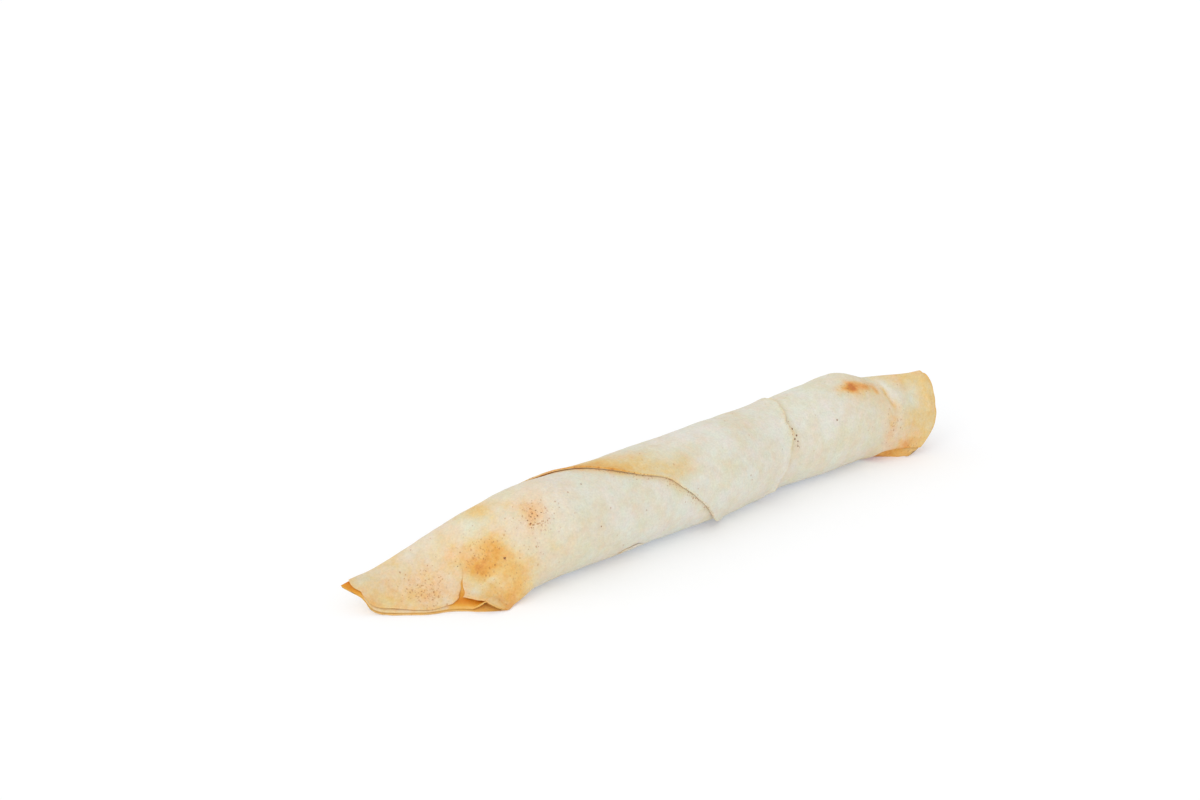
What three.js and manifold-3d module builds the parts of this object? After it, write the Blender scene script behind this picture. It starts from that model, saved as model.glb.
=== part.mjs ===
// Fried spring roll: a thin round pastry wrapper rolled up into a long slim tube and fried.
// Millimetres. +X runs along the roll from its wide open end to its narrow end, +Y is the far side, +Z is up.
import * as THREE from "three";
import { mergeVertices } from "three/addons/utils/BufferGeometryUtils.js";
import Module from "manifold-3d";

// The roll's cross-section at stations along it. along, across and height place its middle. wide
// and deep are half its width and half its depth. lean tips its width up from the floor and yaw
// turns it, both in degrees. full is 2 for an ellipse, less for a lens with creased edges and more
// for a squarer shape. curl lifts its far edge.
const stations = [
  { along: -57.2, across: 9.2, height: 0.9, wide: 17.1, deep: 0.9, lean: 0, yaw: 45, full: 2.4, curl: 6 },
  { along: -51.5, across: 9.2, height: 2.6, wide: 14.6, deep: 2.7, lean: 8, yaw: 35, full: 1.5, curl: 3 },
  { along: -44, across: 8.3, height: 5.6, wide: 12.5, deep: 5.8, lean: 20, yaw: 22, full: 1.7, curl: 1 },
  { along: -35, across: 7.1, height: 8.8, wide: 11.4, deep: 8.6, lean: 28, yaw: 9, full: 1.9, curl: 0 },
  { along: -24, across: 5, height: 10.5, wide: 10.9, deep: 10.4, lean: 36, yaw: 2, full: 2, curl: 0 },
  { along: -12, across: 4, height: 10.4, wide: 10.6, deep: 10.3, lean: 36, yaw: 0, full: 2, curl: 0 },
  { along: 6, across: 3, height: 10.3, wide: 10.5, deep: 10.2, lean: 36, yaw: 0, full: 2, curl: 0 },
  { along: 24, across: 2, height: 10.4, wide: 10.6, deep: 10.4, lean: 48, yaw: 0, full: 2, curl: 0 },
  { along: 42, across: 2.5, height: 10.1, wide: 10, deep: 9.7, lean: 54, yaw: 0, full: 2, curl: 0 },
  { along: 62, across: 1.2, height: 10.4, wide: 10.6, deep: 10.4, lean: 62, yaw: 0, full: 2, curl: 0 },
  { along: 72, across: 0.7, height: 10.7, wide: 10.5, deep: 9.6, lean: 70, yaw: 0, full: 1.95, curl: 0 },
  { along: 80, across: -2.2, height: 9.4, wide: 9.5, deep: 7, lean: 76, yaw: 0, full: 1.85, curl: 0 },
  { along: 88, across: -6, height: 9.3, wide: 9.5, deep: 3.9, lean: 80, yaw: 0, full: 1.75, curl: 0 },
  { along: 94.6, across: -8.6, height: 9.4, wide: 9.3, deep: 1.8, lean: 80, yaw: 0, full: 1.75, curl: 0 },
];

// The stations are measured from the floor under the thick part, and the origin is under the middle
// of the whole, which lies this much further along and across.
const middleAlong = 12.7;
const middleAcross = 5.2;

// The wrapper and the two open ends.
const wrapperThickness = 0.7; // a few crisp layers that lie together
const pressedEdge = 2.6; // width of the folds at each side of an end, where the layers touch
const mouthDepth = 9; // how far the wide end's hollow runs in before the filling
const tailDepth = 5; // the same at the narrow end
const mouthGap = 0.3; // the slit left between the sheets of an end
const mouthBulge = 0.9; // how far the middle of the wide end stands out past its corners
const archHeight = 2.1; // the upper sheet stands up in an arch near the near corner
const archReach = 8; // how far the arch runs back from the mouth
const archCrease = -0.58; // where the arch starts across the width, from -1 near to +1 far
const archTop = -0.786; // place of the arch's highest point
const tailRoundingStart = 74; // the narrow end is cut off in a round shape from here on
const tailCutNear = 7.5; // how much shorter its lower edge is
const tailCutFar = 1; // how much shorter its upper edge is

// The last layer of the wrapper, whose pointed corner is tucked under the roll. Angles go
// round the roll in degrees: 0 far side, 90 top, 180 near side, 270 underneath.
const flapThickness = 0.55;
const flapRoot = 0.6; // how deep the layer's solid runs into the roll
const flapStartAngle = -66;
const flapTipAngle = 284;
const flapTopLeft = -13; // where the left edge crosses the top
const flapLeftPitch = 0.24; // how far along that edge moves for each degree
const flapTopRight = 48; // where the right edge crosses the top
const flapRightPitch = -0.066;

// Fineness of the faceted solid.
const pointsAround = 52;
const ringsAlong = 58;
const flapSteps = 46;
const flapColumns = 12;

const radians = THREE.MathUtils.degToRad;
const clamp01 = (value) => THREE.MathUtils.clamp(value, 0, 1);
const signedPower = (value, exponent) => Math.sign(value) * Math.abs(value) ** exponent;

// The slope of one station value at station i, level where the value turns, so nothing overshoots.
function slopeAt(key, i) {
  const before = stations[i - 1];
  const here = stations[i];
  const after = stations[i + 1];
  if (!before || !after) {
    const other = before || after;
    return (other[key] - here[key]) / (other.along - here.along);
  }
  const left = (here[key] - before[key]) / (here.along - before.along);
  const right = (after[key] - here[key]) / (after.along - here.along);
  return left * right <= 0 ? 0 : (2 * left * right) / (left + right);
}

// The cross-section at any place along the roll.
function sectionAt(along) {
  let i = 0;
  while (i < stations.length - 2 && along > stations[i + 1].along) i += 1;
  const from = stations[i];
  const to = stations[i + 1];
  const span = to.along - from.along;
  const t = (along - from.along) / span;
  const section = { along };
  for (const key of Object.keys(from)) {
    if (key === "along") continue;
    section[key] =
      from[key] * (1 + 2 * t) * (1 - t) ** 2 +
      to[key] * t ** 2 * (3 - 2 * t) +
      slopeAt(key, i) * span * t * (1 - t) ** 2 -
      slopeAt(key, i + 1) * span * t ** 2 * (1 - t);
  }
  return section;
}

// Lift of the upper sheet at the wide end, which slopes down to both sides from the arch's top.
function archAt(along, share) {
  const rise = clamp01((archCrease - share) / (archCrease - archTop));
  const fall = clamp01((share + 1) / (archTop + 1));
  const fade = clamp01(1 - (along - stations[0].along) / archReach);
  return archHeight * Math.min(rise, fall) * fade ** 1.5;
}

// Where a point of a cross-section lies: w across its width, h through its depth. What would lie
// lower than floor is flattened to it.
function place(section, w, h, floor) {
  const share = THREE.MathUtils.clamp(w / section.wide, -1, 1);
  const depth = h > 0 ? h + archAt(section.along, share) : h;
  const lean = radians(section.lean);
  const across = w * Math.cos(lean) - depth * Math.sin(lean);
  const lift = w * Math.sin(lean) + depth * Math.cos(lean) + section.curl * clamp01(2 * share - 1);
  const bulge = mouthBulge * (1 - share ** 2) * clamp01(1 - (section.along - stations[0].along) / 6) ** 2;
  const tail = stations[stations.length - 1].along;
  const rounding = clamp01((section.along - tailRoundingStart) / (tail - tailRoundingStart)) ** 1.5;
  const cut = tailCutNear * clamp01(-share) ** 1.8 + tailCutFar * clamp01((share - 0.3) / 0.7) ** 2.5;
  return new THREE.Vector3(
    section.along - across * Math.sin(radians(section.yaw)) - bulge - rounding * cut - middleAlong,
    section.across + across * Math.cos(radians(section.yaw)) - middleAcross,
    Math.max(section.height + lift, floor),
  );
}

// A point of the outside at an angle round the section, standing proud by some millimetres.
function skinPoint(along, angle, proud = 0, floor = 0) {
  const section = sectionAt(along);
  const roundness = 2 / section.full;
  const w = (section.wide + proud) * signedPower(Math.cos(angle), roundness);
  const h = (section.deep + proud) * signedPower(Math.sin(angle), roundness);
  return place(section, w, h, floor);
}

// A point of the hollow inside an end, one wrapper thickness in from the outside.
function hollowPoint(along, angle) {
  const section = sectionAt(along);
  const w = (section.wide - pressedEdge) * Math.cos(angle);
  const outside = section.deep * (1 - Math.abs(w / section.wide) ** section.full) ** (1 / section.full);
  const inside = Math.max(outside - wrapperThickness, mouthGap / 2);
  const closing = clamp01(3 * Math.abs(Math.sin(angle)));
  return place(section, w, Math.sign(Math.sin(angle)) * inside * closing, wrapperThickness);
}

function ring(pointAt) {
  return Array.from({ length: pointsAround }, (_, i) => pointAt((2 * Math.PI * i) / pointsAround));
}

// The body: rings from the floor of the narrow end's hollow, out over its lip, along the whole
// outside, and over the other lip into the mouth. Both hollows are closed by a strip across.
function bodyGeometry() {
  const head = stations[0].along;
  const tail = stations[stations.length - 1].along;
  const rings = [];
  for (const depth of [tailDepth, tailDepth / 2, 0]) rings.push(ring((a) => hollowPoint(tail - depth, a)));
  for (let j = 0; j <= ringsAlong; j += 1) {
    const share = j / ringsAlong;
    const eased = 0.5 * share + 0.25 * (1 - Math.cos(Math.PI * share));
    rings.push(ring((a) => skinPoint(THREE.MathUtils.lerp(tail, head, eased), a)));
  }
  for (const depth of [0, mouthDepth / 3, (2 * mouthDepth) / 3, mouthDepth])
    rings.push(ring((a) => hollowPoint(head + depth, a)));

  const positions = rings.flat().flatMap((point) => point.toArray());
  const indices = [];
  const at = (r, i) => r * pointsAround + ((i + pointsAround) % pointsAround);
  for (let r = 0; r < rings.length - 1; r += 1)
    for (let i = 0; i < pointsAround; i += 1) {
      indices.push(at(r, i), at(r + 1, i), at(r, i + 1));
      indices.push(at(r, i + 1), at(r + 1, i), at(r + 1, i + 1));
    }
  const last = rings.length - 1;
  for (let i = 0; i < pointsAround / 2; i += 1) {
    indices.push(at(0, i), at(0, i + 1), at(0, -i));
    indices.push(at(0, i + 1), at(0, -i - 1), at(0, -i));
    indices.push(at(last, i), at(last, -i), at(last, i + 1));
    indices.push(at(last, i + 1), at(last, -i), at(last, -i - 1));
  }
  return closedGeometry(positions, indices);
}

// The last layer: a sheet that goes once round the roll between its two slanting edges.
function flapGeometry() {
  const sides = [
    { proud: flapThickness, floor: 0 },
    { proud: -flapRoot, floor: flapRoot },
  ];
  const positions = [];
  for (const side of sides)
    for (let i = 0; i <= flapSteps; i += 1) {
      const turn = THREE.MathUtils.lerp(flapStartAngle, flapTipAngle, i / flapSteps);
      const left = flapTopLeft + flapLeftPitch * (turn - 90);
      const right = flapTopRight + flapRightPitch * (turn - 90);
      for (let j = 0; j <= flapColumns; j += 1) {
        const along = THREE.MathUtils.lerp(left, right, j / flapColumns);
        const angle = radians(turn - sectionAt(along).lean);
        positions.push(...skinPoint(along, angle, side.proud, side.floor).toArray());
      }
    }
  const row = flapColumns + 1;
  const inner = row * (flapSteps + 1);
  const indices = [];
  const quad = (a, b, c, d) => indices.push(a, b, c, a, c, d);
  for (let i = 0; i < flapSteps; i += 1)
    for (let j = 0; j < flapColumns; j += 1) {
      const corner = i * row + j;
      quad(corner, corner + row, corner + row + 1, corner + 1);
      quad(inner + corner, inner + corner + 1, inner + corner + row + 1, inner + corner + row);
    }
  const rim = [];
  for (let i = 0; i < flapSteps; i += 1) rim.push(i * row);
  for (let j = 0; j < flapColumns; j += 1) rim.push(flapSteps * row + j);
  for (let i = flapSteps; i > 0; i -= 1) rim.push(i * row + flapColumns);
  for (let j = flapColumns; j > 0; j -= 1) rim.push(j);
  rim.forEach((from, k) => {
    const to = rim[(k + 1) % rim.length];
    quad(from, inner + from, inner + to, to);
  });
  return closedGeometry(positions, indices);
}

function closedGeometry(positions, indices) {
  const geometry = new THREE.BufferGeometry();
  geometry.setAttribute("position", new THREE.Float32BufferAttribute(positions, 3));
  geometry.setIndex(indices);
  return geometry;
}

const wasm = await Module();
wasm.setup();

function solidOf(geometry) {
  const merged = mergeVertices(geometry, 1e-4);
  return new wasm.Manifold(
    new wasm.Mesh({
      numProp: 3,
      vertProperties: merged.getAttribute("position").array,
      triVerts: new Uint32Array(merged.index.array),
    }),
  );
}

function geometryOf(solid) {
  const mesh = solid.getMesh();
  const geometry = new THREE.BufferGeometry();
  geometry.setAttribute("position", new THREE.BufferAttribute(mesh.vertProperties, 3));
  geometry.setIndex(new THREE.BufferAttribute(mesh.triVerts, 1));
  return geometry;
}

const rollGeometry = geometryOf(solidOf(bodyGeometry()).add(solidOf(flapGeometry())));
rollGeometry.computeVertexNormals();

const crust = new THREE.MeshStandardMaterial({ color: 0xe6d3b0, roughness: 0.62, metalness: 0 });
const roll = new THREE.Mesh(rollGeometry, crust);
roll.name = "spring_roll";

const springRoll = new THREE.Group();
springRoll.add(roll);

export default springRoll;
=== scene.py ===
import math
import bpy
import numpy as np
from mathutils import Matrix, Vector, noise


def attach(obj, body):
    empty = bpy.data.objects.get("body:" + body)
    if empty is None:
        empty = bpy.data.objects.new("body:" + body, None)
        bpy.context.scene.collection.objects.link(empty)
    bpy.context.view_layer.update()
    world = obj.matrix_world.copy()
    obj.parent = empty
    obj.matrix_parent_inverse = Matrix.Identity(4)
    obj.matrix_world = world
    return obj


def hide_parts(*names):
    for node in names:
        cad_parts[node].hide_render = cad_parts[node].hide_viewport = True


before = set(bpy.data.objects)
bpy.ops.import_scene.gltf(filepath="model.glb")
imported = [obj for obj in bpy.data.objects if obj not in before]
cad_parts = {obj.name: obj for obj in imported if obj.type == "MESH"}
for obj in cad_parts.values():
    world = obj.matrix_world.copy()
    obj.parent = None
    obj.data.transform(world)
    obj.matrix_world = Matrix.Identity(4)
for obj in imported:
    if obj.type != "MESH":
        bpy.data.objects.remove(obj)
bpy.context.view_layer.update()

# The rolled wrapper
# A thin sheet of soft pastry is rolled up tightly into a long slim tube and fried until its ends
# are crisp. One end is pressed into a broad flat mouth, the other is pinched upright.

MM = 0.001

# Cross-sections along the roll, in millimetres and degrees: where the middle lies across the roll
# and above the floor, half the width and depth, the lean to one side, the turn of the section
# against the roll, the fullness of its corners and the rise of the mouth's far corner.
stations = {
    "along": (-57.2, -51.5, -44, -35, -24, -12, 6, 24, 42, 62, 72, 80, 88, 94.6),
    "across": (9.2, 9.2, 8.3, 7.1, 5, 4, 3, 2, 2.5, 1.2, 0.7, -2.2, -6, -8.6),
    "height": (0.4, 2.3, 5.6, 8.8, 10.5, 10.4, 10.3, 10.4, 10.1, 10.4, 10.7, 9.4, 9.3, 9.4),
    "wide": (17.1, 14.6, 12.5, 11.4, 10.9, 10.6, 10.5, 10.6, 10, 10.6, 10.5, 9.5, 9.5, 9.3),
    "deep": (0.4, 2.3, 5.7, 8.6, 10.4, 10.3, 10.2, 10.4, 9.7, 10.4, 9.6, 7, 3.9, 1.8),
    "lean": (0, 8, 20, 28, 36, 36, 36, 48, 54, 62, 70, 76, 80, 80),
    "yaw": (45, 35, 22, 9, 2, 0, 0, 0, 0, 0, 0, 0, 0, 0),
    "full": (2.4, 1.5, 1.7, 1.9, 2, 2, 2, 2, 2, 2, 1.95, 1.85, 1.75, 1.75),
    "curl": (6, 3, 1, 0, 0, 0, 0, 0, 0, 0, 0, 0, 0, 0),
}
head = stations["along"][0]
tail = stations["along"][-1]
middle_along = 12.7
middle_across = 5.2

# The mouth: its front edge is uneven, its far corner curls up, and near its other corner the
# upper side stands up in a low arch. Each is given by its share of the width, -1 near to 1 far.
front_bulge = 0.9
front_reach = 6
curl_shares = (0.42, 0.5, 0.6, 0.7, 0.75, 0.85, 1)
curl_rises = (0, 0.075, 0.25, 0.517, 0.625, 0.767, 1)
front_shares = (-1, -0.9, -0.7, -0.6, -0.52, -0.4, -0.3, -0.2, -0.1, 0.15, 0.28, 0.38, 0.55, 0.7, 1)
front_steps = (0, 0.2, 0.1, -0.4, -0.8, -1.0, -0.7, 0.5, 1.1, 1.1, 1.2, 0.9, 1.1, 0.2, 0)
arch_shares = (-1, -0.94, -0.87, -0.82, -0.785, -0.75, -0.72, -0.68, -0.66, -0.6, -0.5, -0.32)
arch_lifts = (0, 0.36, 1.0, 1.5, 1.9, 1.45, 1.08, 0.7, 0.5, 0.15, 0.05, 0)
arch_reach = 9

# The tail: its end is cut back towards the foot, with rounded corners and a slightly wavy edge.
cut_from = 74
foot_cut = 7.5
top_cut = 0.7
foot_corner = 2.6
top_corner = 1.1
end_trim = 0.45


def smooth_between(places, values, at):
    """A smooth run through values at places, level where they turn, so nothing overshoots."""
    places, values = np.asarray(places, float), np.asarray(values, float)
    steps = np.diff(places)
    rises = np.diff(values) / steps
    slopes = np.concatenate(([rises[0]], np.zeros(len(rises) - 1), [rises[-1]]))
    same_way = rises[:-1] * rises[1:] > 0
    total = np.where(same_way, rises[:-1] + rises[1:], 1)
    slopes[1:-1] = np.where(same_way, 2 * rises[:-1] * rises[1:] / total, 0)
    at = np.clip(at, places[0], places[-1])
    i = np.clip(np.searchsorted(places, at, side="right") - 1, 0, len(steps) - 1)
    t = (at - places[i]) / steps[i]
    return (
        values[i] * (1 + 2 * t) * (1 - t) ** 2
        + values[i + 1] * t**2 * (3 - 2 * t)
        + slopes[i] * steps[i] * t * (1 - t) ** 2
        - slopes[i + 1] * steps[i] * t**2 * (1 - t)
    )


def ease(low, high, value):
    """0 at low, 1 at high, and a smooth step between them."""
    t = np.clip((value - low) / (high - low), 0, 1)
    return t * t * (3 - 2 * t)


def fading(distance, reach):
    """1 at no distance, fading smoothly to both sides and nearly gone at twice the reach."""
    return np.exp(-((distance / reach) ** 2))


def section_at(along):
    """The cross-section at a place along the roll."""
    places = stations["along"]
    return {key: smooth_between(places, stations[key], along) for key in stations if key != "along"}


def front_edge(share):
    """How far the mouth's front edge stands out at a share of the width."""
    return front_bulge * (1 - share**2) + smooth_between(front_shares, front_steps, share)


def end_cut(share):
    """How far the tail's end is cut back at a share of the width."""
    towards_top = np.clip((share - 0.3) / 0.7, 0, 1)
    near_foot = np.clip((-share - 0.64) / 0.36, 0, 1)
    near_top = np.clip((share - 0.8) / 0.2, 0, 1)
    cut = foot_cut * np.clip(-share, 0, 1) ** 1.8 + top_cut * towards_top**2.5
    cut = cut + foot_corner * (1 - np.sqrt(1 - near_foot**2))
    cut = cut + top_corner * (1 - np.sqrt(1 - near_top**2))
    wavy = 0.15 * np.sin(6 * share + 1) + 0.05 * np.sin(17 * share)
    return cut + end_trim + wavy


def place(along, section, w, h, floor=0.0, arched=None):
    """The point w across and h through the cross-section at a place along the roll.

    floor is the lowest that the point may lie, and arched how far it joins in the mouth's arch."""
    share = np.clip(w / section["wide"], -1, 1)
    if arched is None:
        arched = h > 0
    arch = smooth_between(arch_shares, arch_lifts, share) * (1 - ease(head, head + arch_reach, along))
    h = h + arch * arched
    lean, yaw = np.radians(section["lean"]), np.radians(section["yaw"])
    across = w * np.cos(lean) - h * np.sin(lean)
    curl = section["curl"] * smooth_between(curl_shares, curl_rises, share)
    lift = w * np.sin(lean) + h * np.cos(lean) + curl
    near_front = np.clip(1 - (along - head) / front_reach, 0, 1) ** 2
    near_end = np.clip((along - cut_from) / (tail - cut_from), 0, 1) ** 1.5
    towards_mouth = front_edge(share) * near_front + near_end * end_cut(share)
    x = along - across * np.sin(yaw) - towards_mouth - middle_along
    y = section["across"] + across * np.cos(yaw) - middle_across
    z = np.maximum(section["height"] + lift, floor)
    return np.stack(np.broadcast_arrays(x, y, z), -1)


def skin(along, angle, proud=0.0, floor=0.0):
    """A point of the outside, proud of it by some millimetres.

    angle goes round the section in degrees: 0 is its far edge and 90 its upper face."""
    along, angle = np.broadcast_arrays(np.asarray(along, float), np.radians(angle))
    section = section_at(along)
    sine, cosine = np.sin(angle), np.cos(angle)
    power = 2 / section["full"]
    w = (section["wide"] + proud) * np.sign(cosine) * np.abs(cosine) ** power
    h = (section["deep"] + proud) * np.sign(sine) * np.abs(sine) ** power
    return place(along, section, w, h, floor)


def angle_of(share, along):
    """The angle on the upper face that lies at a share of the width."""
    full = section_at(along)["full"]
    return np.degrees(np.arccos(np.clip(np.sign(share) * np.abs(share) ** (full / 2), -1, 1)))


def clouds(points, size, seed, octaves=2):
    """Smooth random values from about -1 to 1, in lumps of the given size."""
    flat = points.reshape(-1, 3) / size + seed
    values = [noise.fractal(Vector(p), 1.0, 2.0, octaves) for p in flat]
    return np.array(values).reshape(points.shape[:-1])


def marks_at(points, marks):
    """Sums soft spots on the roll: (along, angle, reach along, reach round, strength)."""
    total = np.zeros(points.shape[:-1])
    for along, angle, reach_along, reach_round, strength in marks:
        gap = points - skin(along, angle)
        sideways = gap[..., 1] ** 2 + gap[..., 2] ** 2
        far = (gap[..., 0] / reach_along) ** 2 + sideways / reach_round**2
        total += strength * np.exp(-far)
    return total


# Dents and ridges in the soft pastry: the dimple, crease and ridges of the tail, and the soft
# folds that run back from the mouth.
dents = [
    (88, 57, 2.8, 3.4, -0.75),
    (79.6, 40, 0.9, 2.4, -0.2),
    (80.4, 54, 0.9, 2.4, -0.4),
    (80.8, 67, 0.9, 2.4, -0.2),
    (82.4, 50, 1.0, 2.6, 0.12),
    (83, 66, 1.0, 2.6, 0.12),
    (83.2, 84, 1.3, 3.2, 0.12),
    (83.6, 105, 1.3, 3.2, 0.12),
    (92.5, 60, 1.0, 5.0, 0.25),
    (-50, 127, 3.2, 1.4, 0.4),
    (-46, 132, 3.2, 1.4, 0.25),
    (-46, 100, 4.0, 1.6, -0.3),
    (-41, 62, 5.0, 2.4, 0.25),
    (-45, 50, 5.0, 2.2, -0.2),
    (-37, 48, 4.0, 2.4, -0.15),
    (-9, 150, 9.0, 3.0, -0.15),
    (60, 120, 7.0, 3.0, -0.2),
    (30, 60, 9.0, 3.0, 0.15),
    (67.5, 49, 2.2, 1.6, 0.18),
    (74.5, 50, 2.2, 1.2, 0.14),
]


# The pastry's uneven surface: (height, size, seed) of its broad waves, lumps and fine ripples.
waves = ((0.16, 11, 3.1), (0.07, 4.2, 7.7), (0.03, 1.6, 1.3))


def relief(points):
    """How far the pastry stands out or in, in millimetres."""
    uneven = sum(height * clouds(points, size, seed) for height, size, seed in waves)
    return uneven + marks_at(points, dents)


# How brown the frying has made the pastry, from 0 pale to 1 deep brown: more at the ends, which
# cook through first, and in separate patches where the pastry touched the pan. A few patches are
# not browning but painted shade in the tail's crease and painted highlights on ridges and in the
# tail's dimple. The patches of brown dots and of a rosier tan are soft spots too.
toast_along = (
    (-60, -54, -49, -43, -37, -31, -24, -10, 30, 60, 70, 76, 80, 86, 95),
    (0.42, 0.42, 0.38, 0.32, 0.24, 0.17, 0.11, 0.07, 0.06, 0.08, 0.13, 0.2, 0.3, 0.42, 0.5),
)
toast_and_painted_light_patches = [
    (-53, 155, 4.5, 4.5, 0.08),
    (-48, 150, 4.5, 4.0, 0.12),
    (-45, 163, 4.5, 5.0, 0.1),
    (-42, 137, 3.2, 3.4, 0.2),
    (-41, 122, 3.0, 3.2, 0.08),
    (-46, 38, 6.0, 5.0, -0.12),
    (-55, -24, 4.0, 4.0, -0.1),
    (-40, -24, 5.0, 5.0, -0.06),
    (-46.6, 104, 2.2, 2.6, 0.28),
    (-47.4, 114, 2.0, 1.6, 0.24),
    (-45.2, 105, 4.2, 4.6, 0.2),
    (-43.8, 113, 2.4, 2.6, 0.22),
    (-41.5, 97, 2.6, 2.6, 0.24),
    (-43.5, 73, 2.0, 1.8, 0.14),
    (-40.5, 62, 3.4, 3.6, -0.2),
    (-37.5, 45, 3.4, 3.6, 0.3),
    (-34.2, 66, 1.2, 1.8, 0.14),
    # These two paler streaks on the lobe's ridges are painted highlights.
    (-51.5, 125, 2.4, 0.9, -0.26),
    (-48, 129, 2.4, 0.9, -0.22),
    (-55, 70, 3.0, 6.0, 0.06),
    (-32.4, 97, 2.8, 3.2, 0.24),
    (-33.2, 95, 1.0, 1.0, 0.12),
    (-34, 103, 0.8, 0.8, 0.14),
    (-30.6, 92, 1.0, 1.2, 0.1),
    (-31, 78, 4.0, 5.0, 0.16),
    (9, 97, 5.0, 2.6, 0.14),
    (67.2, 51, 2.1, 1.4, 0.58),
    (69.6, 47, 2.1, 1.5, 0.6),
    (71.2, 50, 1.5, 1.1, 0.36),
    (73.6, 52, 1.8, 1.1, 0.36),
    (76.3, 49.5, 1.8, 1.3, 0.52),
    (71, 52, 6.0, 2.6, 0.18),
    (72, 64, 6.0, 3.0, 0.1),
    # These five paint light on the tail: painted shade along the crease, and painted highlights on the
    # ridge beside it and in the dimple.
    (80.1, 53, 0.6, 3.0, 0.24),
    (80.6, 64, 0.7, 1.4, 0.14),
    (81.6, 44, 1.0, 3.4, -0.26),
    (83.4, 58, 1.7, 4.2, -0.2),
    (87.5, 55, 3.1, 3.9, -0.42),
    (79, 104, 2.2, 3.2, 0.26),
    (46, 98, 1.2, 5.0, 0.14),
    (88, 106, 4.0, 4.0, 0.08),
    (87, 137, 4.5, 1.8, 0.28),
    (87, 28, 4.0, 2.6, 0.22),
    (-28, -25, 8.0, 5.0, 0.3),
    (-44, -60, 6.0, 6.0, 0.25),
    (16, -8, 6.0, 4.0, 0.25),
    (44, -30, 8.0, 4.0, 0.35),
    (49, -36, 2.5, 1.6, 0.3),
    (72, -50, 6.0, 5.0, 0.3),
    (2, 250, 8.0, 3.0, 0.2),
    (50, 240, 12.0, 4.0, 0.2),
    (-35, 250, 9.0, 5.0, 0.25),
]
stipple_patches = [
    (-54.2, 79, 2.6, 4.2, 1.0),
    (-52.6, 84, 2.2, 3.0, 0.6),
    (-49, 60, 3.0, 4.0, 0.2),
    (-44.5, 108, 3.4, 4.0, 0.7),
    (-44, 85, 4.0, 4.0, 0.3),
    (-47, 145, 5.0, 6.0, 0.25),
    (-32.6, 97, 2.4, 3.2, 1.8),
    (-34, 103, 1.2, 1.4, 1.0),
    (-36, 131, 1.5, 2.0, 0.3),
    (-27, 100, 2.0, 2.0, 0.2),
    (68, 48, 2.6, 2.0, 0.6),
    (75, 50, 2.6, 1.6, 0.4),
    (79.5, 106, 2.6, 3.0, 0.55),
    (89, 142, 3.0, 1.6, 0.7),
    (45.6, 96, 0.9, 3.0, 1.0),
    (20, -10, 7.0, 4.0, 0.4),
    (48, -34, 5.0, 3.0, 0.7),
    (-26, -25, 5.0, 4.0, 0.5),
]
rosy_patches = [
    (-50, 70, 8.0, 9.0, 0.35),
    (-33, 94, 5.0, 5.0, 0.3),
    (-28, 60, 6.0, 6.0, 0.3),
    (-38, 48, 4.0, 4.0, -0.5),
    (-42, 98, 4.0, 4.0, -0.35),
    (-46, 106, 4.0, 4.0, -0.3),
    (-47, 150, 6.0, 5.0, -0.3),
    (-54, 85, 5.0, 6.0, 0.3),
    (70, 52, 8.0, 4.0, 0.1),
    (79, 105, 3.0, 5.0, 0.5),
    (90, 80, 5.0, 12.0, -0.6),
    (86, 138, 5.0, 3.0, 0.2),
]


def fried(along, points):
    """The marks of frying, and some painted light, at points of the skin: how toasted, rosy and
    stippled.
    """
    bend = np.stack([clouds(points, 4.5, seed) for seed in (11.5, 12.5, 13.5)], -1)
    bent = points + 1.1 * bend
    toast_and_painted_light = smooth_between(*toast_along, along) + marks_at(bent, toast_and_painted_light_patches)
    toast_and_painted_light = toast_and_painted_light + 0.1 * clouds(points, 9, 5.5, 3) + 0.05 * clouds(points, 3.2, 6.5)
    rosy = 0.45 + marks_at(bent, rosy_patches) + 0.45 * clouds(points, 7, 15.5)
    stipple_and_edge_shade = np.clip(marks_at(points, stipple_patches), 0, 1) + 0.012
    return {"toast_and_painted_light": toast_and_painted_light, "rosy": rosy, "stipple_and_edge_shade": stipple_and_edge_shade, "inner": np.zeros_like(toast_and_painted_light)}


def finish_piece(name, points, faces, marks, material):
    """Makes a piece from points in millimetres, and stores its marks for the material."""
    mesh = bpy.data.meshes.new(name)
    mesh.from_pydata((points * MM).tolist(), [], faces)
    for key, values in marks.items():
        attribute = mesh.attributes.new(key, "FLOAT", "POINT")
        attribute.data.foreach_set("value", np.asarray(values, np.float32))
    fans = [(face[0], face[k], face[k + 1]) for face in faces for k in range(1, len(face) - 1)]
    corners = np.array(fans)
    a, b, c = (points[corners[:, k]] for k in range(3))
    if np.einsum("ij,ij->i", np.cross(a, b), c).sum() < 0:
        mesh.flip_normals()
    mesh.shade_smooth()
    mesh.materials.append(material)
    mesh.validate()
    piece = bpy.data.objects.new(name, mesh)
    bpy.context.collection.objects.link(piece)
    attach(piece, "root")
    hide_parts("spring_roll")


# The fried crust's finish: cream pastry that turns golden or rosy tan, orange and brown as it
# fries, with brown stipples, small blisters and pores. Its inner side is a deeper oily orange.


def add_node(tree, kind, values=None, **settings):
    made = tree.nodes.new(kind)
    for key, value in settings.items():
        setattr(made, key, value)
    for key, value in (values or {}).items():
        if isinstance(value, bpy.types.NodeSocket):
            tree.links.new(value, made.inputs[key])
        else:
            made.inputs[key].default_value = value
    return made


def srgb(red, green, blue):
    """Linear colour from the 0 to 255 values that a screen shows."""
    def linear(value):
        value /= 255
        return value / 12.92 if value <= 0.04045 else ((value + 0.055) / 1.055) ** 2.4
    return (linear(red), linear(green), linear(blue), 1.0)


def math_node(tree, operation, a, b=0.0, c=0.0, clamp=False):
    values = {0: a, 1: b, 2: c}
    made = add_node(tree, "ShaderNodeMath", values, operation=operation, use_clamp=clamp)
    return made.outputs[0]


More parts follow.
